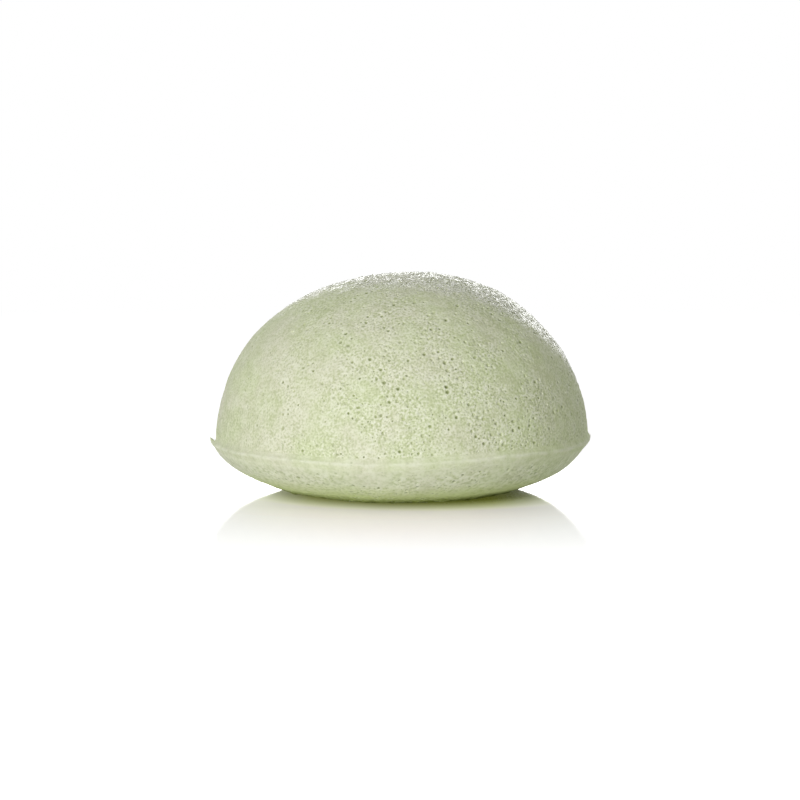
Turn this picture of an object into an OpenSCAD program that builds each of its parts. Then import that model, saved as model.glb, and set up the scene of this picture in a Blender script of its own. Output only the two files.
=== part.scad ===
// Half-ball konjac sponge: one soft foam body that stands on the flat foot of its shallow underside.
// It is cast in a two-part mould. Its pieces are the skin of the dome, the skin of the underside,
// the thin fin that the mould leaves round the parting line, and the open-celled foam inside them.
// Millimetres, +Z up. The origin is the centre of the foot, on the surface that the sponge stands on.

/* [Dome] */
// Overall height, from the foot to the crown
sponge_h = 45.7; // [40:0.1:52]
// Diameter of the dome where its wall stands upright, at the parting plane
dome_d = 78.4; // [66:0.2:92]
// Thickness of the skin over the dome
dome_skin_t = 0.8; // [0.4:0.1:2]

/* [Underside] */
// Height of the parting plane above the foot
parting_z = 10.7; // [8:0.1:14]
// Diameter of the flat foot that the sponge stands on
foot_d = 33.6; // [20:0.2:46]
// Thickness of the skin over the underside
base_skin_t = 0.8; // [0.4:0.1:2]

/* [Moulding fin] */
// How far the fin stands out from the dome's wall
fin_reach = 0.8; // [0.4:0.1:2]
// Thickness of the fin at its edge
fin_edge_t = 0.9; // [0.3:0.1:1.5]
// How far the fin's root climbs the dome's wall above the parting plane
fin_root_h = 2.1; // [1.6:0.1:4]

/* [Hidden] */
$fn = 180;

// The dome's section is a shoulder arc and a flatter crown arc, which run into each other without a corner.
// They join where the surface leans this far from level, in degrees.
dome_join_angle = 16;
// The underside's section is the foot, a floor arc and a tighter rim arc, also without a corner.
// The arcs join at these shares of the way out from the foot to the fin's edge, and of the way up.
belly_join_out_share = 0.63;
belly_join_up_share = 0.293;
// An arc has a point at least every so many degrees
arc_step_angle = 3;

dome_r = dome_d / 2;
dome_rise = sponge_h - parting_z;
shoulder_r = (dome_rise - dome_r * tan(dome_join_angle / 2)) / (1 - tan(dome_join_angle / 2));
crown_r = (dome_r - shoulder_r * (1 - sin(dome_join_angle))) / sin(dome_join_angle);
shoulder_centre = [dome_r - shoulder_r, parting_z];
crown_centre = [0, sponge_h - crown_r];

foot_r = foot_d / 2;
lip_r = dome_r + fin_reach;
core_r = dome_r - dome_skin_t;
belly_join_x = belly_join_out_share * (lip_r - foot_r);
belly_join_z = belly_join_up_share * parting_z;
belly_join_angle = 2 * atan(belly_join_z / belly_join_x);
floor_arc_r = (pow(belly_join_x, 2) + pow(belly_join_z, 2)) / (2 * belly_join_z);
floor_arc_centre = [foot_r, floor_arc_r];
// The rim arc leaves the join in the direction of the floor arc there and ends at the fin's edge
join_to_lip = [lip_r - foot_r - belly_join_x, parting_z - belly_join_z];
join_outward = [sin(belly_join_angle), -cos(belly_join_angle)];
rim_arc_r = -(join_to_lip * join_to_lip) / (2 * (join_to_lip * join_outward));
rim_arc_centre = floor_arc_centre + (floor_arc_r - rim_arc_r) * join_outward;

// Points along an arc, its first one included and its last one left out
function arc_points(centre, radius, from_angle, to_angle) =
    let (steps = ceil(abs(to_angle - from_angle) / arc_step_angle))
    [
        for (i = [0 : steps - 1])
        let (angle = from_angle + (to_angle - from_angle) * i / steps)
        centre + radius * [cos(angle), sin(angle)]
    ];

// Half section of the dome above the parting plane, drawn in by inset from its outer surface
module dome_section(inset) {
    polygon(concat(
        [[0, parting_z]],
        arc_points(shoulder_centre, shoulder_r - inset, 0, 90 - dome_join_angle),
        arc_points(crown_centre, crown_r - inset, 90 - dome_join_angle, 90),
        [[0, sponge_h - inset]]
    ));
}

// Half section of the underside below the parting plane, drawn in by inset from its outer surface
module belly_section(inset) {
    rim_r = rim_arc_r - inset;
    rim_end_angle = asin((parting_z - rim_arc_centre[1]) / rim_r);
    polygon(concat(
        [[0, parting_z], [0, inset]],
        arc_points(floor_arc_centre, floor_arc_r - inset, -90, belly_join_angle - 90),
        arc_points(rim_arc_centre, rim_r, belly_join_angle - 90, rim_end_angle),
        [[rim_arc_centre[0] + rim_r * cos(rim_end_angle), parting_z]]
    ));
}

// The part of the underside that lies under the skins
module belly_core_section() {
    intersection() {
        belly_section(base_skin_t);
        square([core_r, parting_z]);
    }
}

// Skin of the dome, down to the parting plane
module dome_skin() {
    color([0.76, 0.80, 0.64])
        rotate_extrude()
            difference() {
                dome_section(0);
                dome_section(dome_skin_t);
            }
}

// Skin of the underside, with the flat foot; it ends under the dome's wall
module base_skin() {
    color([0.80, 0.82, 0.64])
        rotate_extrude()
            difference() {
                intersection() {
                    belly_section(0);
                    square([dome_r, parting_z]);
                }
                belly_core_section();
            }
}

// Thin fin round the parting line: its underside carries on the rim arc, its top slopes up to the dome
module moulding_fin() {
    root_x = dome_r - fin_reach;
    top_slope_h = 2 * (fin_root_h - fin_edge_t);
    color([0.86, 0.87, 0.74])
        rotate_extrude()
            difference() {
                union() {
                    belly_section(0);
                    polygon([
                        [root_x, parting_z],
                        [lip_r, parting_z],
                        [lip_r, parting_z + fin_edge_t],
                        [root_x, parting_z + fin_edge_t + top_slope_h]
                    ]);
                }
                square([dome_r, parting_z]);
                dome_section(0);
            }
}

// Open-celled foam that fills both skins
module foam_core() {
    color([0.88, 0.88, 0.74])
        rotate_extrude()
            union() {
                dome_section(dome_skin_t);
                belly_core_section();
            }
}

dome_skin();
base_skin();
moulding_fin();
foam_core();
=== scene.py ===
"""Looks of a half-ball konjac sponge: pored dome, smoother underside, moulding fin and foam core."""

import math
from collections import namedtuple

import bmesh
import bpy
import numpy as np
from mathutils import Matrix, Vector, kdtree
from mathutils.geometry import delaunay_2d_cdt

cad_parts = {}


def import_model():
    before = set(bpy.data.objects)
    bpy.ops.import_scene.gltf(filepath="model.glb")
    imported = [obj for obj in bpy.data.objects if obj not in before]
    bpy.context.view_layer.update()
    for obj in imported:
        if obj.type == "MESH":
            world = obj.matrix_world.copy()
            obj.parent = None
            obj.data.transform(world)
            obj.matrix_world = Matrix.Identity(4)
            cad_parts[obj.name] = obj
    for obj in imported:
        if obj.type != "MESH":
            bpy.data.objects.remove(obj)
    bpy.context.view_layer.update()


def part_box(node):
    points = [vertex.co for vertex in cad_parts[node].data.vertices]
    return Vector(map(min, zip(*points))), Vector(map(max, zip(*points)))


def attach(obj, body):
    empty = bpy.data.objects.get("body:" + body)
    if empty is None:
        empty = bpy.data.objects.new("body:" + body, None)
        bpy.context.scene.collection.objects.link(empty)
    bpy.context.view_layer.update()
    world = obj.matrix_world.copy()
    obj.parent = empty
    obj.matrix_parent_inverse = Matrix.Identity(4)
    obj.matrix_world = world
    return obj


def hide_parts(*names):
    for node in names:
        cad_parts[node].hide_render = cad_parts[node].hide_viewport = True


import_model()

MM = 0.001
SEED = 20_000

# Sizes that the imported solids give
dome_low, dome_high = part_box("dome_skin")
base_low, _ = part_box("base_skin")
_, fin_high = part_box("moulding_fin")
core_low, core_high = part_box("foam_core")
DOME_R = dome_high.x
PARTING_Z = dome_low.z
CROWN_Z = dome_high.z
LIP_R = fin_high.x
DOME_SKIN_T = dome_high.z - core_high.z
BASE_SKIN_T = core_low.z - base_low.z

# Shape of the section, as in the part's source
FOOT_R = 16.8 * MM
DOME_JOIN_ANGLE = math.radians(16)
BELLY_JOIN_OUT_SHARE = 0.63
BELLY_JOIN_UP_SHARE = 0.293
ARC_STEPS = 900

# Ripples mix a number of plane waves, with lengths between these shares of the wavelength asked for
WAVES = 40
WAVELENGTH_SHARES = (0.7, 1.4)

# Ripples of a surface: height, wavelength, seed, extra height where it is wet, and number of waves
Ripple = namedtuple("Ripple", "height wavelength seed wetter waves", defaults=(0, WAVES))


def unit(v):
    """v with each of its rows made one long."""
    return v / np.linalg.norm(v, axis=-1, keepdims=True)


def smooth_step(x, low, high):
    """0 below low, 1 above high, and a smooth rise between them."""
    t = np.clip((x - low) / (high - low), 0, 1)
    return t * t * (3 - 2 * t)


def hump(x, middle, half_width):
    """1 at the middle, falling off smoothly to both sides."""
    return np.exp(-0.5 * ((x - middle) / half_width) ** 2)


def hump_round(angle, middle, half_width):
    """The same round a circle, with the middle and the half width in degrees."""
    off = (angle - math.radians(middle) + math.pi) % (2 * math.pi) - math.pi
    return hump(off, 0, math.radians(half_width))


def random_of(seed):
    """A source of random numbers that gives the same ones each run."""
    return np.random.default_rng(SEED + seed)


def ripples(points, wavelength, seed, waves=WAVES):
    """A smooth random field over points, of about unit size, from plane waves of about this wavelength."""
    rng = random_of(seed)
    direction = unit(rng.normal(size=(waves, 3)))
    number = 2 * math.pi / (wavelength * rng.uniform(*WAVELENGTH_SHARES, waves))
    phase = rng.uniform(0, 2 * math.pi, waves)
    return np.cos((points @ direction.T) * number + phase).sum(1) * math.sqrt(2 / waves)


def rippled(points, rows, wet=0):
    """Height at these points of a surface with all the ripples in rows."""
    def height(row):
        return (row.height + row.wetter * wet) * ripples(points, row.wavelength, row.seed, row.waves)

    return sum(height(row) for row in rows)


# Outlines of the turned shapes, as rows of radius and height, from the axis outwards


def arc(centre, radius, start, end):
    angle = np.linspace(start, end, ARC_STEPS)[:, None]
    return np.asarray(centre) + radius * np.hstack([np.cos(angle), np.sin(angle)])


def line(start, end):
    return np.array([start, end])


def dome_outline(inset):
    """From the crown down to the parting plane."""
    rise = CROWN_Z - PARTING_Z
    half = math.tan(DOME_JOIN_ANGLE / 2)
    shoulder_r = (rise - DOME_R * half) / (1 - half)
    crown_r = (DOME_R - shoulder_r * (1 - math.sin(DOME_JOIN_ANGLE))) / math.sin(DOME_JOIN_ANGLE)
    turn = math.pi / 2 - DOME_JOIN_ANGLE
    crown = arc((0, CROWN_Z - crown_r), crown_r - inset, math.pi / 2, turn)
    shoulder = arc((DOME_R - shoulder_r, PARTING_Z), shoulder_r - inset, turn, 0)
    return np.vstack([crown, shoulder[1:]])


def belly_arcs():
    """Centre and radius of the floor arc and of the rim arc, and the angle at which they join."""
    x = BELLY_JOIN_OUT_SHARE * (LIP_R - FOOT_R)
    z = BELLY_JOIN_UP_SHARE * PARTING_Z
    angle = 2 * math.atan(z / x)
    floor_r = (x * x + z * z) / (2 * z)
    to_lip = np.array([LIP_R - FOOT_R - x, PARTING_Z - z])
    outward = np.array([math.sin(angle), -math.cos(angle)])
    rim_r = -(to_lip @ to_lip) / (2 * (to_lip @ outward))
    floor_centre = np.array([FOOT_R, floor_r])
    return floor_centre, floor_r, floor_centre + (floor_r - rim_r) * outward, rim_r, angle


def rim_arc_z(radius):
    """Height of the rim arc at this radius."""
    _, _, centre, rim_r, _ = belly_arcs()
    return centre[1] - np.sqrt(rim_r ** 2 - (radius - centre[0]) ** 2)


def belly_outline(inset, side_r):
    """From the middle of the foot out along the belly, and up the side to the parting plane."""
    floor_centre, floor_r, rim_centre, rim_r, angle = belly_arcs()
    rim_r -= inset
    rim_end = -math.acos((side_r - rim_centre[0]) / rim_r)
    floor_arc = arc(floor_centre, floor_r - inset, -math.pi / 2, angle - math.pi / 2)
    rim = arc(rim_centre, rim_r, angle - math.pi / 2, rim_end)
    return np.vstack([(0, inset), floor_arc, rim[1:], (side_r, PARTING_Z)])


# Slow differences between the real sponge and a turned shape, from the photograph
DOME_ASIDE = 0.4 * MM
DOME_ASIDE_FADE = 2 * MM
LIP_ASIDE_SHARE = 0.3
# Places across the crown where it lies higher or lower: distance to the right, height and half width, in mm
CROWN_WAVES = [(11, 0.25, 6.5), (-16, -0.6, 9.5)]
# They start at the first of these heights and are whole from the second
CROWN_WAVES_Z = (0.6 * CROWN_Z, 0.9 * CROWN_Z)
# Heights at which the sides lie further in: height, how far and half width, in mm
SIDES_IN = [(24, 0.2, 7), (2, 0.5, 1.2)]
SIDES_IN_FADE = 1 * MM
SEAM_RISE = 0.15 * MM
SEAM_RISE_RIGHT = 0.35 * MM
SEAM_FADE = 16 * MM
# Where the seam rises or dips round the rim: angle in degrees, height in mm and half width in degrees
SEAM_WAVES = [(-100, -0.35, 14), (-56, 0.4, 14), (48, -0.3, 18), (95, 0.25, 15), (140, -0.25, 16)]


def seam_shift(angle):
    """How far the parting line lies above its plane at this angle round the axis."""
    shift = SEAM_RISE + SEAM_RISE_RIGHT * np.cos(angle)
    for at, height, width in SEAM_WAVES:
        shift = shift + height * MM * hump_round(angle, at, width)
    return shift


def settle(points):
    """Moves points of the turned shape to where the real sponge has them."""
    p = points.copy()
    z = points[:, 2]
    angle = np.arctan2(p[:, 1], p[:, 0])
    out = np.hypot(p[:, 0], p[:, 1])
    inward = sum(depth * MM * hump(z, at * MM, width * MM) for at, depth, width in SIDES_IN)
    inward *= smooth_step(out, 0, DOME_R) * smooth_step(z, 0, SIDES_IN_FADE)
    lip = (1 - LIP_ASIDE_SHARE) * smooth_step(out, DOME_R, LIP_R)
    p[:, 0] -= inward * np.cos(angle)
    p[:, 1] -= inward * np.sin(angle)
    p[:, 0] += DOME_ASIDE * smooth_step(z, PARTING_Z - DOME_ASIDE_FADE, PARTING_Z) * (1 - lip)
    near_seam = 1 - smooth_step(np.abs(z - PARTING_Z), 0, SEAM_FADE)
    p[:, 2] += seam_shift(angle) * near_seam * smooth_step(z, 0, PARTING_Z)
    high = smooth_step(p[:, 2], *CROWN_WAVES_Z)
    for at, height, width in CROWN_WAVES:
        p[:, 2] += height * MM * high * hump(p[:, 0], at * MM, width * MM)
    return p


# Plain turned meshes: rings of evenly spread points, joined by triangles

# Points slip by up to this share of their spacing, where their ring has more than EVEN_COUNT of them
JITTER_SHARE = 0.3
EVEN_COUNT = 3
# The first point of a ring turns by up to this share of the ring's spacing
RING_TURN_SHARE = 0.99
# Stretches that end this close to their start make a closed section
SAME_PLACE = 1e-6 * MM


class Turned:
    """Points, outward normals and triangles for a list of (outline, step) stretches.

    The stretches follow one another clockwise round the section, with up at the top. The first or the last
    ring may have a set number of points, so that it matches the rim of another mesh."""

    def __init__(self, stretches, seed=None, first=None, last=None):
        rows = []
        for outline, step in stretches:
            rows += self.spread(outline, step)[1 if rows else 0:]
        closed = math.dist(rows[0][:2], rows[-1][:2]) < SAME_PLACE
        if closed:
            rows = rows[:-1]
        rng = random_of(seed or 0)
        points, normals, starts, counts = [], [], [], []
        for number, (r, z, out, up, step, inner) in enumerate(rows):
            count = max(1, round(2 * math.pi * r / step))
            start = rng.uniform(0, RING_TURN_SHARE)
            if first and number == 0 or last and number == len(rows) - 1:
                count = first or last
                start = 0
            angle = 2 * math.pi * (np.arange(count) + start) / count
            if seed is not None and inner and count > EVEN_COUNT:
                slip = rng.uniform(-1, 1, (2, count)) * step * JITTER_SHARE
                angle = angle + slip[0] / r
                r = r + slip[1] * up
                z = z - slip[1] * out
            starts.append(sum(counts))
            counts.append(count)
            cos, sin = np.cos(angle), np.sin(angle)
            points.append(np.stack([r * cos, r * sin, z + 0 * angle], 1))
            normals.append(np.stack([out * cos, out * sin, up + 0 * angle], 1))
        self.points = np.vstack(points)
        self.normals = unit(np.vstack(normals))
        pairs = list(zip(range(len(counts) - 1), range(1, len(counts))))
        if closed:
            pairs.append((len(counts) - 1, 0))
        self.faces = np.vstack([self.stitch(starts[a], counts[a], starts[b], counts[b]) for a, b in pairs])

    @staticmethod
    def spread(outline, step):
        """Rows of radius, height, normal, step and whether the row is inside its stretch."""
        piece = np.diff(outline, axis=0)
        length = np.linalg.norm(piece, axis=1)
        along = np.concatenate([[0], np.cumsum(length)])
        parts = max(1, round(along[-1] / step))
        at = np.linspace(0, along[-1], parts + 1)
        r = np.maximum(np.interp(at, along, outline[:, 0]), 0)
        z = np.interp(at, along, outline[:, 1])
        middle = (along[1:] + along[:-1]) / 2
        out = np.interp(at, middle, -piece[:, 1] / length)
        up = np.interp(at, middle, piece[:, 0] / length)
        return [(r[i], z[i], out[i], up[i], step, 0 < i < parts) for i in range(parts + 1)]

    @staticmethod
    def stitch(start_a, count_a, start_b, count_b):
        """Triangles between ring a and the ring b that follows it."""
        middle_a = (np.arange(count_a) + 0.5) / count_a if count_a > 1 else np.zeros(0)
        middle_b = (np.arange(count_b) + 0.5) / count_b if count_b > 1 else np.zeros(0)
        i = np.arange(len(middle_a))
        j = np.arange(len(middle_b))
        facing_b = np.searchsorted(middle_b, middle_a, side="right") % count_b
        facing_a = np.searchsorted(middle_a, middle_b, side="left") % count_a
        from_a = np.stack([start_a + (i + 1) % count_a, start_a + i, start_b + facing_b], 1)
        from_b = np.stack([start_b + j, start_b + (j + 1) % count_b, start_a + facing_a], 1)
        return np.vstack([from_a, from_b])


# Pored skins: scattered points with round pits among them, joined on a flat map of the surface

# A ring of points in a pit: distance from the middle as a share of the radius, number of points, share of
# the depth, and darkness: painted shade in the pit, and below 0 a painted highlight that makes its rim
# paler than the skin
WIDE_RINGS = [(0, 1, 1, 1), (0.55, 6, 0.8, 0.9), (1, 8, 0.08, 0.1), (1.35, 8, -0.08, -0.5)]
NARROW_RINGS = [(0, 1, 1, 1), (0.5, 5, 0.6, 0.8), (1.1, 6, 0, -0.4)]
DIMPLE_RINGS = [(0, 1, 1, 1), (0.6, 5, 0.6, 0.6), (1.2, 6, 0, -0.3)]
# Above 1 makes small pores commoner than large ones, and faint ones commoner than dark ones
SMALLNESS = 1.6
FAINTNESS = 1.4
# How far a pit reaches in radii, the gap round it as a share of the spacing, and how oval it gets at most
PIT_REACH = 1.35
PIT_CLEAR_SHARE = 0.45
PIT_OVAL = 1.12
# Distance between rows of points, and from the last row to the rim, as shares of the spacing
ROW_SHARE = 0.9
RIM_GAP_SHARE = 0.7
RIM_POINTS = 660
MAP_TOLERANCE = 1e-9

# Pores of one kind: how many to a square millimetre, and ranges of radius and depth in mm and of darkness
Kind = namedtuple("Kind", "per_mm2 radius depth shade rings")
Pore = namedtuple("Pore", "index radius depth shade rings")
# Patches with more or fewer pores, as shares of the kinds' numbers: mean, change, size, least and most
Patches = namedtuple("Patches", "mean change size least most")


def patchy(points, patches, seed):
    """How many pores there are at these points, where 1 is as many as the kinds of pore say."""
    change = patches.change * ripples(points, patches.size, seed)
    return np.clip(patches.mean + change, patches.least, patches.most)


class Skin:
    """A turned surface from its axis out to its rim, with pits in it.

    It is laid out on a flat map that keeps circles round. Places on the map are complex numbers, with the
    axis at 0. facing is 1 where the outside looks up, else -1. steps holds shares of the way from axis to
    rim, and the spacing of the points at each of them."""

    def __init__(self, outline, facing, steps, kinds, wanted, seed):
        piece = np.diff(outline, axis=0)
        length = np.linalg.norm(piece, axis=1)
        growth = 2 * length[1:] / (outline[1:-1, 0] + outline[2:, 0])
        self.outline = outline
        self.along = np.concatenate([[0], np.cumsum(length)])
        self.flat_r = np.concatenate([[0], length[0] * np.exp(np.concatenate([[0], np.cumsum(growth)]))])
        self.middle = (self.along[1:] + self.along[:-1]) / 2
        self.slope = facing * np.column_stack([-piece[:, 1], piece[:, 0]]) / length[:, None]
        rng = random_of(seed)
        places, space = self.scatter(steps, rng)
        points, _ = self.lift(places)
        pores = self.choose(kinds, points, ROW_SHARE * space ** 2 * wanted(points), rng)
        self.sink(pores, places, points, space, rng)
        corners = [Vector((place.real, place.imag)) for place in self.places]
        self.faces = np.array(delaunay_2d_cdt(corners, [], [], 0, MAP_TOLERANCE)[2])[:, ::facing]
        self.points, self.normals = self.lift(self.places)
        self.open = np.clip(wanted(self.points), 0, 1)

    def lift(self, places):
        """The points on the surface and the outward normals at places on the map."""
        along = np.interp(np.abs(places), self.flat_r, self.along)
        turn = np.exp(1j * np.angle(places))
        r, z = (np.interp(along, self.along, column) for column in self.outline.T)
        out, up = (np.interp(along, self.middle, column) for column in self.slope.T)
        points = np.column_stack([r * turn.real, r * turn.imag, z])
        return points, unit(np.column_stack([out * turn.real, out * turn.imag, up]))

    def scale(self, places):
        """How many times larger the map is than the surface at these places."""
        flat_r = np.maximum(np.abs(places), self.flat_r[1])
        along = np.interp(flat_r, self.flat_r, self.along)
        return flat_r / np.interp(along, self.along, self.outline[:, 0])

    def scatter(self, steps, rng):
        """Places spread evenly over the surface in slightly uneven rings, and the spacing at each."""
        places, space = [], []
        rim = self.along[-1]
        along = 0
        step = steps[1][0]
        while along < rim - RIM_GAP_SHARE * step:
            r = np.interp(along, self.along, self.outline[:, 0])
            count = max(1, round(2 * math.pi * r / step))
            slip = rng.uniform(-1, 1, (2, count)) * step * JITTER_SHARE * (count > EVEN_COUNT)
            angle = 2 * math.pi * (np.arange(count) + rng.uniform()) / count + slip[0] / max(r, step)
            flat_r = np.interp(along + slip[1], self.along, self.flat_r)
            places.append(flat_r * np.exp(1j * angle))
            space.append(np.full(count, step))
            along += ROW_SHARE * step
            step = np.interp(along / rim, *steps)
        return np.concatenate(places), np.concatenate(space)

    @staticmethod
    def choose(kinds, points, area, rng):
        """Pores at some of the points, the widest first, none of them running into another."""
        def between(least, most, skew):
            return least + (most - least) * rng.uniform() ** skew

        pores = []
        for kind in kinds:
            for index in np.flatnonzero(rng.uniform(size=len(points)) < kind.per_mm2 / MM ** 2 * area):
                radius = between(*kind.radius, SMALLNESS) * MM
                depth = between(*kind.depth, 1) * MM
                pores.append(Pore(index, radius, depth, between(*kind.shade, FAINTNESS), kind.rings))
        pores.sort(key=lambda pore: -pore.radius)
        tree = kdtree.KDTree(len(pores))
        for number, pore in enumerate(pores):
            tree.insert(points[pore.index], number)
        tree.balance()
        free = [True] * len(pores)
        for number, pore in enumerate(pores):
            if free[number]:
                for _, other, away in tree.find_range(points[pore.index], 2 * PIT_REACH * pore.radius):
                    if other > number and away < PIT_REACH * (pore.radius + pores[other].radius):
                        free[other] = False
        return [pore for pore, kept in zip(pores, free) if kept]

    def sink(self, pores, places, points, space, rng):
        """Puts rings of points in the pores, in place of the points that were there, and adds the rim."""
        tree = kdtree.KDTree(len(points))
        for i, point in enumerate(points):
            tree.insert(point, i)
        tree.balance()
        bare = np.ones(len(points), bool)
        flat, height, pit_shade_and_rim_light = [], [], []
        scale = self.scale(places)
        for pore in pores:
            reach = PIT_REACH * pore.radius + PIT_CLEAR_SHARE * space[pore.index]
            bare[[near for _, near, _ in tree.find_range(points[pore.index], reach)]] = False
            lie = np.exp(1j * rng.uniform(0, math.pi))
            oval = rng.uniform(1, PIT_OVAL)
            for share, count, sunk, shade in pore.rings:
                ring = np.exp(2j * math.pi * (np.arange(count) + rng.uniform()) / count)
                ring = (ring.real * oval + 1j * ring.imag / oval) * lie
                flat.append(places[pore.index] + scale[pore.index] * pore.radius * share * ring)
                height.append(np.full(count, -pore.depth * sunk))
                # Darkness of the painted shade in the pit, and of the painted highlight on its rim
                pit_shade_and_rim_light.append(np.full(count, pore.shade * shade))
        rim = self.flat_r[-1] * np.exp(2j * math.pi * np.arange(RIM_POINTS) / RIM_POINTS)
        plain = np.zeros(bare.sum() + RIM_POINTS)
        self.places = np.concatenate([places[bare], rim, *flat])
        self.height = np.concatenate([plain, *height])
        self.pore = np.concatenate([plain, *pit_shade_and_rim_light])


# Pieces

# Points closer than this are joined
WELD = 0.001 * MM


def add_piece(name, points, faces, **layers):
    """A smooth-shaded object with its matching rims welded, and layers on its points for the materials."""
    mesh = bpy.data.meshes.new(name)
    mesh.from_pydata(points.tolist(), [], faces.tolist())
    for layer_name, values in layers.items():
        layer = mesh.attributes.new(layer_name, "FLOAT", "POINT")
        layer.data.foreach_set("value", values.astype(np.float32))
    welded = bmesh.new()
    welded.from_mesh(mesh)
    bmesh.ops.remove_doubles(welded, verts=welded.verts, dist=WELD)
    welded.to_mesh(mesh)
    welded.free()
    mesh.polygons.foreach_set("use_smooth", [True] * len(mesh.polygons))
    mesh.update()
    obj = bpy.data.objects.new(name, mesh)
    bpy.context.scene.collection.objects.link(obj)
    return obj


def add_skin(name, skin, relief, rest):
    """A piece made of a pored skin and the plain rest of its surface."""
    outside = skin.points + skin.normals * (skin.height + relief(skin.points))[:, None]
    plain = np.zeros(len(rest.points))
    return add_piece(
        name,
        settle(np.vstack([outside, rest.points])),
        np.vstack([skin.faces, rest.faces + len(outside)]),
        # Painted shade in the pits, and painted highlights on their rims
        pore=np.concatenate([skin.pore, plain]),
        open=np.concatenate([skin.open, plain]),
        wet=np.concatenate([wetness(skin.points), plain]),
    )


# The wet crown reaches further down on the right and at the back: by how much, and the heights of its edge
WET_RIGHT = 0.3
WET_BACK = 0.9
WET_EDGE = (0.58 * CROWN_Z, 0.88 * CROWN_Z)
WET_LOWEST = (0.35 * CROWN_Z, 0.5 * CROWN_Z)


def wetness(points):
    """1 on the wet crown and 0 where the foam is only damp."""
    x, y, z = points.T
    return smooth_step(z + WET_RIGHT * x + WET_BACK * y, *WET_EDGE) * smooth_step(z, *WET_LOWEST)


# Spacing of the points on the inside of the skins, and how far relief and pores keep from the seam
INNER_STEP = 1.6 * MM
SEAM_CLEAR = 3 * MM

# Spacing of the dome's points: finer over the crown
DOME_STEPS = [(0, 0.42, 0.6), (0.42 * MM, 0.42 * MM, 0.48 * MM)]
DOME_PORES = [
    Kind(0.4, (0.2, 0.42), (0.15, 0.4), (0.25, 1), WIDE_RINGS),
    Kind(0.8, (0.13, 0.24), (0.08, 0.2), (0.25, 0.75), NARROW_RINGS),
    Kind(0.5, (0.2, 0.34), (0.03, 0.08), (0.1, 0.35), DIMPLE_RINGS),
]
DOME_PATCHES = Patches(0.85, 0.4, 9 * MM, 0.1, 1.6)
# The pores start at the first of these heights and are all there from the second
DOME_PORES_Z = (PARTING_Z + 0.9 * MM, PARTING_Z + 1.8 * MM)
# Over the crown there are fewer, by this share from the second of these heights on
CROWN_FEWER_SHARE = 0.2
CROWN_FEWER_Z = (0.55 * CROWN_Z, 0.9 * CROWN_Z)
# Sides of the dome with fewer pores: angle in degrees, share fewer, and half width in degrees
CLOSED_SIDES = [(-154, 0.93, 35), (-20, 0.45, 25), (55, 0.6, 30), (120, 0.4, 25)]
# They are that much fewer from this far below the crown on
CLOSED_SIDES_DOWN = 0.3 * CROWN_Z
# Slow lumps, cell-sized grain that is coarser where wet, and a random height for each point
DOME_RIPPLES = [
    Ripple(0.08 * MM, 18 * MM, 11),
    Ripple(0.025 * MM, 4 * MM, 12, wetter=0.015 * MM),
    Ripple(0.012 * MM, 1 * MM, 13, wetter=0.028 * MM, waves=60),
]
DOME_GRAIN = 0.008 * MM
DOME_WET_GRAIN = 0.045 * MM
DOME_GRAIN_SEED = 14


def dome_wanted(points):
    """How many pores the dome has at these points, where 1 is as many as its kinds of pore say."""
    z = points[:, 2]
    angle = np.arctan2(points[:, 1], points[:, 0])
    wanted = patchy(points, DOME_PATCHES, seed=16)
    wanted *= smooth_step(z, *DOME_PORES_Z)
    wanted *= 1 - CROWN_FEWER_SHARE * smooth_step(z, *CROWN_FEWER_Z)
    below_crown = smooth_step(CROWN_Z - z, 0, CLOSED_SIDES_DOWN)
    for at, less, width in CLOSED_SIDES:
        wanted *= 1 - less * hump_round(angle, at, width) * below_crown
    return wanted


def dome_relief(points):
    """Height of the dome's surface over the turned one, level at the seam."""
    wet = wetness(points)
    clear_of_seam = smooth_step(points[:, 2], PARTING_Z, PARTING_Z + SEAM_CLEAR)
    grain = (DOME_GRAIN + DOME_WET_GRAIN * wet) * random_of(DOME_GRAIN_SEED).normal(size=len(points))
    return clear_of_seam * (rippled(points, DOME_RIPPLES, wet) + grain)


def dome_skin():
    """The domed skin: an outside with relief and pores, the flat parting face, and a plain inside."""
    outline = dome_outline(0)
    inside = dome_outline(DOME_SKIN_T)[::-1]
    outside = Skin(outline, facing=1, steps=DOME_STEPS, kinds=DOME_PORES, wanted=dome_wanted, seed=1)
    rest = Turned([(line(outline[-1], inside[0]), INNER_STEP), (inside, INNER_STEP)], first=RIM_POINTS)
    return add_skin("dome_skin_foam", outside, dome_relief, rest)


# Spacing of the underside's points: wider on the foot
BASE_STEPS = [(0, 0.3, 0.4), (0.8 * MM, 0.6 * MM, 0.32 * MM)]
BASE_PORES = [
    Kind(0.07, (0.28, 0.45), (0.2, 0.35), (0.5, 1), WIDE_RINGS),
    Kind(0.3, (0.15, 0.26), (0.06, 0.15), (0.2, 0.6), NARROW_RINGS),
]
BASE_PATCHES = Patches(0.8, 0.5, 8 * MM, 0.05, 1.8)
# The pores start between the first two heights, and end between the other two
BASE_PORES_START_Z = (0.05 * MM, 0.3 * MM)
BASE_PORES_END_Z = (7.5 * MM, 9 * MM)
# Close above the foot there are LOW_PORES times as many, which fades out up to this height
LOW_PORES = 4
LOW_PORES_Z = 1.2 * MM
# The share of that height where the fading starts
LOW_PORES_FADE_SHARE = 0.5
# The wavy edge just above the foot: its ripples, the height where they are strongest, and how they fade
FOOT_RIPPLES = [Ripple(0.09 * MM, 2.6 * MM, 24)]
FOOT_RIPPLES_Z = 0.8 * MM
FOOT_RIPPLES_HALF_Z = 0.5 * MM
FOOT_FADE = 0.5 * MM
# Lightly uneven above it, and level again below the seam
FLANK_RIPPLES = [
    Ripple(0.07 * MM, 15 * MM, 21),
    Ripple(0.02 * MM, 4 * MM, 22),
    Ripple(0.012 * MM, 1.1 * MM, 23, waves=60),
]
FLANK_FADE = 1.5 * MM
FLANK_END_Z = (PARTING_Z - SEAM_CLEAR, PARTING_Z - 1 * MM)


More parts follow.
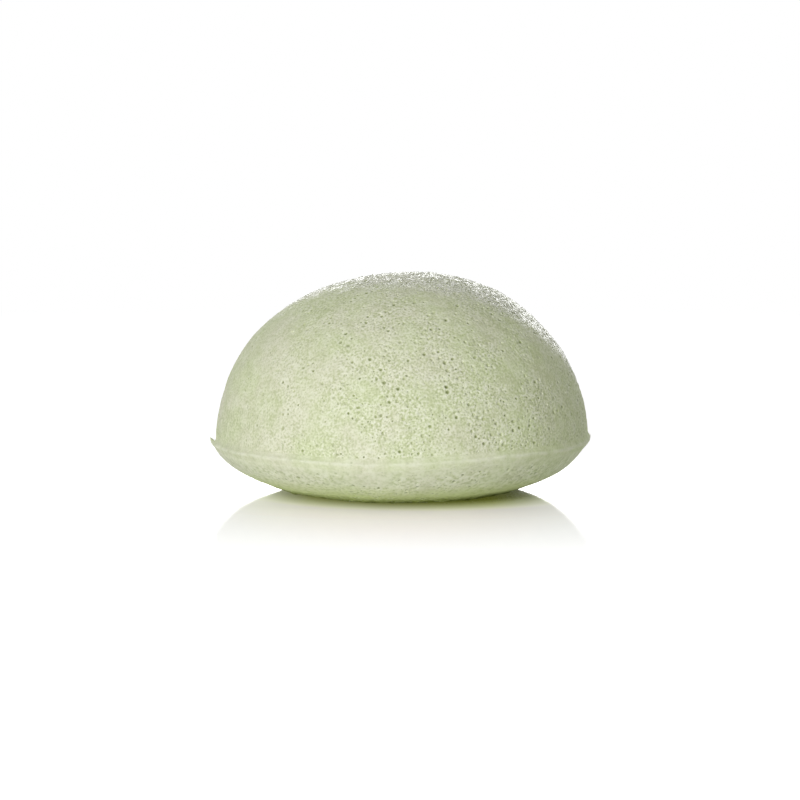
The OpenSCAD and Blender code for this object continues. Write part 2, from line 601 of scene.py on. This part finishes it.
def base_wanted(points):
    """How many pores the underside has: none on the foot, many close above it, and few below the fin."""
    z = points[:, 2]
    wanted = patchy(points, BASE_PATCHES, seed=28)
    wanted *= smooth_step(z, *BASE_PORES_START_Z) * (1 - smooth_step(z, *BASE_PORES_END_Z))
    low = 1 - smooth_step(z, LOW_PORES_FADE_SHARE * LOW_PORES_Z, LOW_PORES_Z)
    return wanted * (1 + (LOW_PORES - 1) * low)


def base_relief(points):
    """Height of the underside's surface: level on the foot, wavy just above it, uneven on the flank."""
    z = points[:, 2]
    flank = smooth_step(z, 0, FLANK_FADE) * (1 - smooth_step(z, *FLANK_END_Z))
    low = smooth_step(z, 0, FOOT_FADE) * hump(z, FOOT_RIPPLES_Z, FOOT_RIPPLES_HALF_Z)
    return low * rippled(points, FOOT_RIPPLES) + flank * rippled(points, FLANK_RIPPLES)


def base_skin():
    """The underside's skin: a plain inside, the flat parting face, and an outside with its foot."""
    outline = belly_outline(0, DOME_R)
    inside = belly_outline(BASE_SKIN_T, DOME_R - DOME_SKIN_T)
    outside = Skin(outline, facing=-1, steps=BASE_STEPS, kinds=BASE_PORES, wanted=base_wanted, seed=5)
    rest = Turned([(inside, INNER_STEP), (line(inside[-1], outline[-1]), INNER_STEP)], last=RIM_POINTS)
    return add_skin("base_skin_foam", outside, base_relief, rest)


# The fin's section beyond the dome's wall, and the spacing of its points
FIN_STEP = 0.22 * MM
FIN_NOSE_STEP = 0.15 * MM
FIN_ROOT_STEP = 2 * FIN_STEP
FIN_ROOT_IN = 0.3 * MM
FIN_TOP_H = 1.3 * MM
FIN_TIP_H = 0.4 * MM
FIN_NOSE_SHARE = 0.1
FIN_ROOT_TOP_IN = 0.2 * MM
FIN_ROOT_LOW_IN = 0.1 * MM
FIN_HOLLOW_POWER = 0.7
# Its reach in front as a share of that at the sides, the ripples of its reach, and the least and the most
FIN_FRONT_SHARE = 0.5
FIN_REACH_RIPPLES = [Ripple(0.08, 4 * MM, 32), Ripple(0.03, 1.5 * MM, 33)]
FIN_REACH_SHARES = (0.05, 1.2)
# Its edge, from this share of the full reach on, waves up and down, and its surface is uneven
FIN_EDGE_SHARE = 0.2
FIN_LIFT_RIPPLES = [Ripple(0.06 * MM, 7 * MM, 34)]
FIN_GRAIN_RIPPLES = [Ripple(0.02 * MM, 0.9 * MM, 37)]
# On the left, round GROOVE_SIDE degrees, the fin's top has a groove next to the wall
GROOVE_SIDE = 179
GROOVE_HALF_ANGLE = 5
GROOVE_DEPTH = 1.6 * MM
GROOVE_AT_SHARE = 0.15
GROOVE_HALF_SHARE = 0.35
GROOVE_ROOT_SHARE = 0.2
GROOVE_FACING_UP = (0, 0.3)
# Torn places: angle and half width in degrees, lift of the edge in shares of TEAR_LIFT, and share gone
FIN_TEARS = [
    (184, 2.4, 0.75, 0),
    (177.5, 2.2, -1, 0.95),
    (171.5, 3, -0.8, 0.9),
    (64, 3, 0.6, 0.3),
    (112, 2, -0.5, 0.5),
    (131, 2.5, 0.7, 0),
]
TEAR_LIFT = 0.5 * MM
TEAR_LIFT_RIPPLES = [Ripple(0.4, 1 * MM, 35)]
TEAR_EDGE_RIPPLES = [Ripple(0.2, 0.7 * MM, 36)]


def fin_section():
    """The fin's outline as stretches: its hollow top, its nose, its underside and its root."""
    full = LIP_R - DOME_R
    nose_r = LIP_R - FIN_NOSE_SHARE * full
    radius = np.linspace(DOME_R, nose_r, ARC_STEPS)
    underside = np.column_stack([radius, rim_arc_z(radius)])[::-1]
    tip_z = underside[0, 1] + FIN_TIP_H
    top_z = PARTING_Z + FIN_TOP_H
    out = np.linspace(0, 1, ARC_STEPS)
    slope_z = top_z + (tip_z - top_z) * out ** FIN_HOLLOW_POWER
    slope = np.column_stack([DOME_R + (nose_r - DOME_R) * out, slope_z])
    nose = arc((0, tip_z - FIN_TIP_H / 2), FIN_TIP_H / 2, math.pi / 2, -math.pi / 2)
    nose[:, 0] = nose_r + nose[:, 0] * (LIP_R - nose_r) / (FIN_TIP_H / 2)
    root_top = (DOME_R - FIN_ROOT_IN, top_z + FIN_ROOT_TOP_IN)
    root_low = (DOME_R - FIN_ROOT_IN, rim_arc_z(DOME_R) - FIN_ROOT_LOW_IN)
    return [
        (np.vstack([root_top, slope]), FIN_STEP),
        (nose, FIN_NOSE_STEP),
        (np.vstack([underside, root_low]), FIN_STEP),
        (line(root_low, root_top), FIN_ROOT_STEP),
    ]


def fin_groove(angle, reach, facing_up, full):
    """1 in the middle of the groove, fading to 0 round it."""
    on_top = smooth_step(facing_up, *GROOVE_FACING_UP) * smooth_step(reach, -GROOVE_ROOT_SHARE * full, 0)
    across = hump(reach, GROOVE_AT_SHARE * full, GROOVE_HALF_SHARE * full)
    return on_top * across * hump_round(angle, GROOVE_SIDE, GROOVE_HALF_ANGLE)


def moulding_fin():
    """The fin as a closed ring: thin and long at the sponge's left and right, and a low ridge in front."""
    fin = Turned(fin_section(), seed=31)
    full = LIP_R - DOME_R
    points = fin.points
    angle = np.arctan2(points[:, 1], points[:, 0])
    reach = np.hypot(points[:, 0], points[:, 1]) - DOME_R
    edge = smooth_step(reach, FIN_EDGE_SHARE * full, full)
    ring = np.stack([np.cos(angle), np.sin(angle), 0 * angle], 1) * LIP_R
    aside = FIN_FRONT_SHARE + (1 - FIN_FRONT_SHARE) * np.cos(angle) ** 2
    ragged = 1 + rippled(ring, FIN_REACH_RIPPLES)
    lift = rippled(ring, FIN_LIFT_RIPPLES)
    for at, width, height, gone in FIN_TEARS:
        near = hump_round(angle, at, width)
        lift += TEAR_LIFT * height * near * (1 + rippled(ring, TEAR_LIFT_RIPPLES))
        ragged += near * (rippled(ring, TEAR_EDGE_RIPPLES) - gone)
    new_r = DOME_R + reach * np.where(reach > 0, aside * np.clip(ragged, *FIN_REACH_SHARES), 1)
    points[:, 0] = new_r * np.cos(angle)
    points[:, 1] = new_r * np.sin(angle)
    points[:, 2] += lift * edge - GROOVE_DEPTH * fin_groove(angle, reach, fin.normals[:, 2], full)
    points += fin.normals * (edge * rippled(points, FIN_GRAIN_RIPPLES))[:, None]
    return add_piece("moulding_fin_foam", settle(points), fin.faces, edge=edge)


# The core's rough surface lies a little inside the skins
CORE_STEP = 1.2 * MM
CORE_RIPPLES = [Ripple(0.05 * MM, 2.5 * MM, 42)]
CORE_INSET = 0.1 * MM


def foam_core():
    """The foam inside both skins, as one closed body with an open-celled surface."""
    upper = dome_outline(DOME_SKIN_T)
    lower = belly_outline(BASE_SKIN_T, DOME_R - DOME_SKIN_T)[::-1]
    core = Turned([(upper, CORE_STEP), (lower, CORE_STEP)], seed=41)
    rough = rippled(core.points, CORE_RIPPLES) - CORE_INSET
    return add_piece("foam_core_foam", settle(core.points + core.normals * rough[:, None]), core.faces)


# Materials

# The middle of a dot as a share of its radius, and the random values that give no dot and a whole one
DOT_MIDDLE_SHARE = 0.4
DOT_STRENGTH_RAMP = (0.1, 0.9)


class Nodes:
    """A node tree, with short ways to add to it. Places are in metres on the piece."""

    def __init__(self, owner):
        owner.use_nodes = True
        self.nodes = owner.node_tree.nodes
        self.links = owner.node_tree.links

    def put(self, value, socket):
        """Links an output to the socket, or sets the socket to a number or colour."""
        if isinstance(value, bpy.types.NodeSocket):
            self.links.new(value, socket)
        elif isinstance(value, tuple) and len(socket.default_value) == 4:
            socket.default_value = (*value, 1)
        else:
            socket.default_value = value

    def place(self):
        return self.nodes.new("ShaderNodeTexCoord").outputs["Object"]

    def noise(self, size, detail):
        """Smooth noise from 0 to 1, with lumps of about this size."""
        node = self.nodes.new("ShaderNodeTexNoise")
        self.put(self.place(), node.inputs["Vector"])
        self.put(1 / size, node.inputs["Scale"])
        self.put(detail, node.inputs["Detail"])
        return node.outputs["Fac"]

    def dots(self, spacing, radius):
        """Round spots up to this radius, 1 in their middle and 0 at their edge, some of them fainter."""
        node = self.nodes.new("ShaderNodeTexVoronoi")
        self.put(self.place(), node.inputs["Vector"])
        self.put(1 / spacing, node.inputs["Scale"])
        middle = DOT_MIDDLE_SHARE * radius
        spot = self.ramp(node.outputs["Distance"], middle / spacing, radius / spacing, 1, 0)
        strength = self.nodes.new("ShaderNodeSeparateColor")
        self.put(node.outputs["Color"], strength.inputs[0])
        return self.times(spot, self.ramp(strength.outputs[0], *DOT_STRENGTH_RAMP))

    def maths(self, operation, first, second):
        node = self.nodes.new("ShaderNodeMath")
        node.operation = operation
        self.put(first, node.inputs[0])
        self.put(second, node.inputs[1])
        return node.outputs[0]

    def times(self, first, second):
        return self.maths("MULTIPLY", first, second)

    def attribute(self, name):
        node = self.nodes.new("ShaderNodeAttribute")
        node.attribute_name = name
        return node.outputs["Fac"]

    def along(self, axis):
        """Place along X, Y or Z."""
        node = self.nodes.new("ShaderNodeSeparateXYZ")
        self.put(self.place(), node.inputs[0])
        return node.outputs[axis]

    def ramp(self, value, low, high, start=0.0, end=1.0):
        """value taken from low to start and from high to end, and no further."""
        node = self.nodes.new("ShaderNodeMapRange")
        for socket, number in (("Value", value), ("From Min", low), ("From Max", high)):
            self.put(number, node.inputs[socket])
        self.put(start, node.inputs["To Min"])
        self.put(end, node.inputs["To Max"])
        return node.outputs["Result"]

    def mix(self, share, first, second):
        """first turned into second by share, both of them colours."""
        node = self.nodes.new("ShaderNodeMix")
        node.data_type = "RGBA"
        sockets = {socket.identifier: socket for socket in node.inputs}
        self.put(share, sockets["Factor_Float"])
        self.put(first, sockets["A_Color"])
        self.put(second, sockets["B_Color"])
        return next(socket for socket in node.outputs if socket.identifier == "Result_Color")

    def bump(self, height, distance, strength, below=None):
        """A bump of height, laid over the bump below."""
        node = self.nodes.new("ShaderNodeBump")
        self.put(distance, node.inputs["Distance"])
        self.put(strength, node.inputs["Strength"])
        self.put(height, node.inputs["Height"])
        if below is not None:
            self.put(below, node.inputs["Normal"])
        return node.outputs["Normal"]

    def shader_mix(self, share, first, second):
        node = self.nodes.new("ShaderNodeMixShader")
        self.put(share, node.inputs[0])
        self.put(first, node.inputs[1])
        self.put(second, node.inputs[2])
        return node.outputs[0]

    def shader_add(self, first, second):
        node = self.nodes.new("ShaderNodeAddShader")
        self.put(first, node.inputs[0])
        self.put(second, node.inputs[1])
        return node.outputs[0]

    def distance(self, centre, half_x=1.0, half_y=1.0):
        """Distance from a centre on the floor, divided by half_x along X and by half_y along Y."""
        oval = self.nodes.new("ShaderNodeMapping")
        self.put(self.place(), oval.inputs["Vector"])
        self.put((-centre[0] / half_x, -centre[1] / half_y, 0), oval.inputs["Location"])
        self.put((1 / half_x, 1 / half_y, 1), oval.inputs["Scale"])
        length = self.nodes.new("ShaderNodeVectorMath")
        length.operation = "LENGTH"
        self.put(oval.outputs["Vector"], length.inputs[0])
        return length.outputs["Value"]

    def seen_by_eye(self):
        """1 on rays from the camera, and on those that gloss or glass sends on."""
        path = self.nodes.new("ShaderNodeLightPath")
        seen = path.outputs["Is Camera Ray"]
        for name in ("Is Glossy Ray", "Is Transmission Ray"):
            seen = self.maths("MAXIMUM", seen, path.outputs[name])
        return seen


# Colours and finish of the foam
# Pale: the foam's own pale mottle and grain, and painted light on pore rims, the fin's edge and the paler
# underside
PALE_TONE_AND_PAINTED_LIGHT = (0.92, 0.94, 0.76)
GREEN = (0.70, 0.76, 0.48)
BEIGE = (0.76, 0.77, 0.57)
DEEP = (0.48, 0.54, 0.27)
# Painted shade in the pores and the dots
PAINTED_PORE_SHADE = (0.20, 0.24, 0.08)
# Painted shade: the right side, away from the key lamp, is painted a more saturated green
SHADED_SIDE_GREEN = (0.57, 0.68, 0.28)
# Painted shade near the foot: the saturated green of the shade under the belly, and the dark contact shade
PAINTED_FOOT_GREEN = (0.74, 0.86, 0.29)
PAINTED_FOOT_SHADE = (0.17, 0.21, 0.005)
# Painted glints and painted shade for the thin streaks in the wet crown
PAINTED_WET_GLINT = (0.97, 0.96, 0.89)
PAINTED_WET_SHADE = (0.31, 0.33, 0.2)
ROUGHNESS = 0.55
SPECULAR = 0.12
WATER_IOR = 1.33
WATER_ROUGHNESS = 0.16

# Noise: size and detail
PATCH_NOISE = (9 * MM, 3)
MOTTLE_NOISE = (2.4 * MM, 2)
STREAK_NOISE = (0.32 * MM, 1)
FOOT_NOISE = (1 * MM, 2)
FIN_NOISE = (3 * MM, 3)
WET_EDGE_NOISE = (3 * MM, 2)
WATER_NOISE = (0.5 * MM, 1)
FILM_NOISE = (0.28 * MM, 1)
GRAIN_DETAIL = 1

# Ramps: a value between the first two numbers gives one between the other two, or between 0 and 1
PATCH_RAMP = (0.38, 0.62)
# Where the painted shade on the right side lies, along X
SHADED_SIDE_RAMP = (5 * MM, 38 * MM, 0, 0.45)
DEEP_MOTTLE_RAMP = (0.35, 0.5, 0.25, 0)
PALE_MOTTLE_RAMP = (0.5, 0.65, 0, 0.25)
OPEN_RAMP = (0, 1, 0.48, 1)
WET_EDGE_RAMP = (0.3, 0.7, -0.25, 0.25)
WET_RAMP = (0.15, 0.85)
BEHIND_RAMP = (10 * MM, 24 * MM, 1, 0.45)
# Where the painted shade and the painted glints of the crown's streaks lie
PAINTED_SHADE_STREAK_RAMP = (0.52, 0.6, 0, 0.9)
PAINTED_GLINT_STREAK_RAMP = (0.4, 0.5, 0.9, 0)
# Where the painted shade near the foot lies
PAINTED_FOOT_GREEN_RAMP = (0, 6 * MM, 0.9, 0)
FOOT_EDGE_RAMP = (0.3, 0.7, -0.4 * MM, 0.4 * MM)
PAINTED_FOOT_SHADE_RAMP = (0.7 * MM, 2.7 * MM, 0.92, 0)
# Painted light on the fin's thin edge: where it rises, and where it is broken
FIN_EDGE_RAMP = (0.5, 1, 0, 0.5)
FIN_BROKEN_RAMP = (0.35, 0.6, 0.2, 1)
WATER_RAMP = (0.35, 0.45, 0, 0.9)
# The grain's values between which it fades, where the material's contrast says how strong it gets
DEEP_GRAIN = (0.3, 0.5)
PALE_GRAIN = (0.5, 0.7)

# Dots among the modelled pores, painted dark as the shade in small holes: spacing and largest radius, and
# how dark they are
WIDE_DOTS = (1.9 * MM, 0.4 * MM)
FINE_DOTS = (0.85 * MM, 0.22 * MM)
WIDE_DOTS_SHADE = 0.35
FINE_DOTS_SHADE = 0.5
DOT_DEPTH = 0.08 * MM
GRAIN_DEPTH = 0.12 * MM
FILM_DEPTH = 0.15 * MM


def soft_patches(tree, pale):
    """Green and beige patches, with painted shade making the shaded right side greener, and smaller deep
    and pale ones over them.
    """
    colour = tree.mix(tree.ramp(tree.noise(*PATCH_NOISE), *PATCH_RAMP), GREEN, BEIGE)
    # Painted light: the foam is painted paler by the share pale, on the underside and the fin
    colour = tree.mix(pale, colour, PALE_TONE_AND_PAINTED_LIGHT)
    colour = tree.mix(tree.ramp(tree.along("X"), *SHADED_SIDE_RAMP), colour, SHADED_SIDE_GREEN)
    mottle = tree.noise(*MOTTLE_NOISE)
    colour = tree.mix(tree.ramp(mottle, *DEEP_MOTTLE_RAMP), colour, DEEP)
    return tree.mix(tree.ramp(mottle, *PALE_MOTTLE_RAMP), colour, PALE_TONE_AND_PAINTED_LIGHT)


def add_grain(tree, colour, grain, opened, contrast):
    """Deep and pale grains, stronger where the foam is open."""
    colour = tree.mix(tree.times(opened, tree.ramp(grain, *DEEP_GRAIN, contrast, 0)), colour, DEEP)
    return tree.mix(tree.times(opened, tree.ramp(grain, *PALE_GRAIN, 0, contrast)), colour, PALE_TONE_AND_PAINTED_LIGHT)


def add_painted_glints_and_shade(tree, colour, wet):
    """Painted glints and painted shade: thin pale and dark streaks in the wet crown, fainter behind."""
    streaks = tree.noise(*STREAK_NOISE)
    streaky = tree.times(wet, tree.ramp(tree.along("Y"), *BEHIND_RAMP))
    colour = tree.mix(tree.times(streaky, tree.ramp(streaks, *PAINTED_SHADE_STREAK_RAMP)), colour, PAINTED_WET_SHADE)
    return tree.mix(tree.times(streaky, tree.ramp(streaks, *PAINTED_GLINT_STREAK_RAMP)), colour, PAINTED_WET_GLINT)


def add_painted_foot_shade(tree, colour):
    """Painted shade near the foot: a saturated green on the flank close to it, and a dark painted contact
    shade on the foot with an uneven edge.
    """
    height = tree.along("Z")
    colour = tree.mix(tree.ramp(height, *PAINTED_FOOT_GREEN_RAMP), colour, PAINTED_FOOT_GREEN)
    low = tree.maths("ADD", height, tree.ramp(tree.noise(*FOOT_NOISE), *FOOT_EDGE_RAMP))
    return tree.mix(tree.ramp(low, *PAINTED_FOOT_SHADE_RAMP), colour, PAINTED_FOOT_SHADE)


def add_painted_fin_edge_light(tree, colour):
    """Painted light on the fin's thin edge, fainter in places."""
    edge = tree.ramp(tree.attribute("edge"), *FIN_EDGE_RAMP)
    edge = tree.times(edge, tree.ramp(tree.noise(*FIN_NOISE), *FIN_BROKEN_RAMP))
    return tree.mix(edge, colour, PALE_TONE_AND_PAINTED_LIGHT)


def add_painted_pore_shade(tree, colour):
    """Painted shade in the modelled pores, and a painted highlight making a paler rim round each."""
    pore = tree.attribute("pore")
    colour = tree.mix(tree.ramp(pore, 0, -1), colour, PALE_TONE_AND_PAINTED_LIGHT)
    return tree.mix(tree.ramp(pore, 0, 1), colour, PAINTED_PORE_SHADE)


def foam(name, grain_size, contrast, relief, pale=0.0):
    """Damp foam: soft patches with painted shade colour, fine grain, round pores with painted shade, a wet
    crown that glitters with its water coat and painted glints, and painted shade at the foot.
    """
    material = bpy.data.materials.new(name)
    tree = Nodes(material)
    shader = tree.nodes["Principled BSDF"]
    shader.inputs["Roughness"].default_value = ROUGHNESS
    shader.inputs["Specular IOR Level"].default_value = SPECULAR
    shader.inputs["Coat IOR"].default_value = WATER_IOR
    shader.inputs["Coat Roughness"].default_value = WATER_ROUGHNESS
    wet = tree.maths("ADD", tree.attribute("wet"), tree.ramp(tree.noise(*WET_EDGE_NOISE), *WET_EDGE_RAMP))
    wet = tree.ramp(wet, *WET_RAMP)
    opened = tree.maths("MAXIMUM", tree.ramp(tree.attribute("open"), *OPEN_RAMP), wet)
    grain = tree.noise(grain_size, GRAIN_DETAIL)
    wide_dots = tree.times(opened, tree.dots(*WIDE_DOTS))
    fine_dots = tree.times(opened, tree.dots(*FINE_DOTS))
    colour = add_grain(tree, soft_patches(tree, pale), grain, opened, contrast)
    # Painted shade in the small pores that are not modelled
    colour = tree.mix(tree.times(wide_dots, WIDE_DOTS_SHADE), colour, PAINTED_PORE_SHADE)
    colour = tree.mix(tree.times(fine_dots, FINE_DOTS_SHADE), colour, PAINTED_PORE_SHADE)
    colour = add_painted_glints_and_shade(tree, colour, wet)
    colour = add_painted_foot_shade(tree, colour)
    colour = add_painted_fin_edge_light(tree, colour)
    tree.put(add_painted_pore_shade(tree, colour), shader.inputs["Base Color"])
    water = tree.times(wet, tree.ramp(tree.noise(*WATER_NOISE), *WATER_RAMP))
    tree.put(water, shader.inputs["Coat Weight"])
    normal = tree.bump(tree.maths("ADD", wide_dots, fine_dots), -DOT_DEPTH, relief)
    normal = tree.bump(grain, GRAIN_DEPTH, relief, normal)
    tree.put(normal, shader.inputs["Normal"])
    film = tree.bump(tree.noise(*FILM_NOISE), FILM_DEPTH, 1)
    tree.put(film, shader.inputs["Coat Normal"])
    return material


def dress(piece, material, node):
    """Gives a piece its material, hangs it on the root body, and hides the imported part that it stands in
    for.
    """
    piece.data.materials.append(material)
    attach(piece, "root")
    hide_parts(node)


# The floor, the light and the camera

FLOOR_SIDE = 6.0
FLOOR_GAP = 0.02 * MM
FLOOR_GLOW = 0.62
# Distances on the floor are taken from FOOT_CENTRE, and those along X are divided by FOOT_STRETCH
FOOT_CENTRE = (4.5 * MM, 0)
FOOT_STRETCH = 1.3
# The floor shows the whole shadow up to SHADOW_NEAR, and none of it from SHADOW_FAR on
SHADOW_NEAR = 60 * MM
SHADOW_FAR = 400 * MM
# The floor mirrors the sponge: by MIRROR close to its foot, then by SHEEN, and ever less with distance
GLOSS_ROUGHNESS = 0.08
MIRROR = 0.87
MIRROR_NEAR = 18 * MM
MIRROR_FAR = 29 * MM
SHEEN = 0.45
SHEEN_FAR = 93 * MM
SHEEN_STRETCH = 2
# Painted shade and bounce light on the floor, in an oval in front of the sponge: olive painted shade round
# the foot, then a warm white for the light the sponge throws on it
PAINTED_OLIVE_SHADE = (0.88, 1, 0.15)
PAINTED_WARM_BOUNCE = (1, 0.945, 0.95)
WHITE = (1, 1, 1)
OLIVE_END = 18 * MM
WARM_START = 31 * MM
WARM_CENTRE = (0, -20 * MM)
WARM_HALF_X = 38 * MM
WARM_HALF_Y = 60 * MM
WARM_FADE_SHARE = 0.5
# Light that the floor throws back on the sponge: dim where the sponge stands on it
DIM_NEAR = 19 * MM
DIM_FAR = 26 * MM
DIM_WHITE = 0.1
FLOOR_WHITE = 0.95


def floor_painted_light(tree, away):
    """The floor's painted shade and bounce light at this distance from the foot, which fade to white at the
    oval's edge.
    """
    painted_tint = tree.mix(tree.ramp(away, OLIVE_END, WARM_START), PAINTED_OLIVE_SHADE, PAINTED_WARM_BOUNCE)
    to_edge = tree.distance(WARM_CENTRE, WARM_HALF_X, WARM_HALF_Y)
    return tree.mix(tree.ramp(to_edge, WARM_FADE_SHARE, 1), painted_tint, WHITE)


def floor_material():
    """White that keeps the shadow near the sponge, with painted shade and bounce light there, and mirrors
    it softly, ever less with distance.
    """
    material = bpy.data.materials.new("floor_white")
    tree = Nodes(material)
    tree.nodes.remove(tree.nodes["Principled BSDF"])
    away = tree.distance(FOOT_CENTRE, FOOT_STRETCH)
    painted_tint = floor_painted_light(tree, away)
    diffuse = tree.nodes.new("ShaderNodeBsdfDiffuse")
    tree.put(painted_tint, diffuse.inputs["Color"])
    glow = tree.nodes.new("ShaderNodeEmission")
    tree.put(painted_tint, glow.inputs["Color"])
    glow.inputs["Strength"].default_value = FLOOR_GLOW
    near = tree.shader_add(diffuse.outputs[0], glow.outputs[0])
    white = tree.nodes.new("ShaderNodeEmission")
    seen = tree.shader_mix(tree.ramp(away, SHADOW_NEAR, SHADOW_FAR), near, white.outputs[0])
    gloss = tree.nodes.new("ShaderNodeBsdfGlossy")
    gloss.inputs["Roughness"].default_value = GLOSS_ROUGHNESS
    mirror = tree.maths(
        "ADD",
        tree.ramp(away, MIRROR_NEAR, MIRROR_FAR, MIRROR - SHEEN, 0),
        tree.ramp(tree.distance(FOOT_CENTRE, SHEEN_STRETCH), MIRROR_FAR, SHEEN_FAR, SHEEN, 0),
    )
    seen = tree.shader_mix(mirror, seen, gloss.outputs[0])
    bounce = tree.nodes.new("ShaderNodeBsdfDiffuse")
    grey = tree.nodes.new("ShaderNodeCombineColor")
    for channel in grey.inputs:
        tree.put(tree.ramp(away, DIM_NEAR, DIM_FAR, DIM_WHITE, FLOOR_WHITE), channel)
    tree.put(grey.outputs[0], bounce.inputs["Color"])
    surface = tree.shader_mix(tree.seen_by_eye(), bounce.outputs[0], seen)
    tree.put(surface, tree.nodes["Material Output"].inputs["Surface"])
    return material


def floor():
    """A square sheet just under the sponge's foot."""
    half = FLOOR_SIDE / 2
    corners = [(x * half, y * half, -FLOOR_GAP) for x, y in ((-1, -1), (1, -1), (1, 1), (-1, 1))]
    mesh = bpy.data.meshes.new("floor")
    mesh.from_pydata(corners, [], [(0, 1, 2, 3)])
    obj = bpy.data.objects.new("floor", mesh)
    bpy.context.scene.collection.objects.link(obj)
    mesh.materials.append(floor_material())


WORLD_LIGHT = 0.3


def world():
    """White where it is seen, and a softer light from all round."""
    surroundings = bpy.data.worlds.new("studio")
    bpy.context.scene.world = surroundings
    tree = Nodes(surroundings)
    soft = tree.nodes["Background"]
    tree.put(WHITE, soft.inputs["Color"])
    soft.inputs["Strength"].default_value = WORLD_LIGHT
    white = tree.nodes.new("ShaderNodeBackground")
    tree.put(WHITE, white.inputs["Color"])
    surface = tree.shader_mix(tree.seen_by_eye(), soft.outputs[0], white.outputs[0])
    tree.put(surface, tree.nodes["World Output"].inputs["Surface"])


LAMP_DISTANCE = 0.9


def lamp(name, azimuth, elevation, width, height, power):
    """A lamp that looks at the middle of the sponge, placed by angles in degrees.

    Azimuth 0 is the photographer's side, and 90 is the right."""
    a = math.radians(azimuth)
    e = math.radians(elevation)
    aside = Vector((math.sin(a) * math.cos(e), -math.cos(a) * math.cos(e), math.sin(e)))
    data = bpy.data.lights.new(name, "AREA")
    data.shape = "RECTANGLE"
    data.size = width
    data.size_y = height
    data.energy = power
    obj = bpy.data.objects.new(name, data)
    bpy.context.scene.collection.objects.link(obj)
    obj.location = Vector((0, 0, CROWN_Z / 2)) + aside * LAMP_DISTANCE
    obj.rotation_euler = aside.to_track_quat("Z", "Y").to_euler()


# The camera's place follows from where the sponge stands in the photograph, in its pixels
IMAGE_SIDE = 800
PIXELS_PER_MM = 4.746
FLOOR_CENTRE_ROW = 489
CAMERA_ELEVATION = math.radians(7)
CAMERA_DISTANCE = 0.7
SENSOR = 36


def camera():
    """The camera, level with the photograph's and aimed so that the foot falls on its row."""
    width = IMAGE_SIDE / PIXELS_PER_MM * MM
    aim_z = (FLOOR_CENTRE_ROW - IMAGE_SIDE / 2) / PIXELS_PER_MM * MM / math.cos(CAMERA_ELEVATION)
    data = bpy.data.cameras.new("camera")
    data.sensor_width = SENSOR
    data.lens = SENSOR * CAMERA_DISTANCE / width
    obj = bpy.data.objects.new("camera", data)
    bpy.context.scene.collection.objects.link(obj)
    back = Vector((0, -math.cos(CAMERA_ELEVATION), math.sin(CAMERA_ELEVATION)))
    obj.location = Vector((0, 0, aim_z)) + back * CAMERA_DISTANCE
    obj.rotation_euler = back.to_track_quat("Z", "Y").to_euler()
    bpy.context.scene.camera = obj


# The whole scene

dome_foam = foam("dome_foam", grain_size=0.45 * MM, contrast=0.9, relief=0.6)
# The underside is painted paler for the light that the floor throws up on it, and the fin a little paler as
# painted light on its thin ridge
base_foam = foam("base_foam", grain_size=0.8 * MM, contrast=0.65, relief=0.5, pale=0.35)
fin_foam = foam("fin_foam", grain_size=0.5 * MM, contrast=0.5, relief=0.5, pale=0.1)
core_foam = foam("core_foam", grain_size=1.2 * MM, contrast=0.6, relief=0.6)
dress(dome_skin(), dome_foam, "dome_skin")
dress(base_skin(), base_foam, "base_skin")
dress(moulding_fin(), fin_foam, "moulding_fin")
dress(foam_core(), core_foam, "foam_core")
floor()
world()
lamp("key", azimuth=-21, elevation=8, width=0.5, height=0.5, power=6)
lamp("rim", azimuth=172, elevation=13, width=0.75, height=0.2, power=1.7)
lamp("back", azimuth=180, elevation=40, width=1, height=1, power=0.6)
camera()
bpy.context.scene.view_settings.view_transform = "Standard"
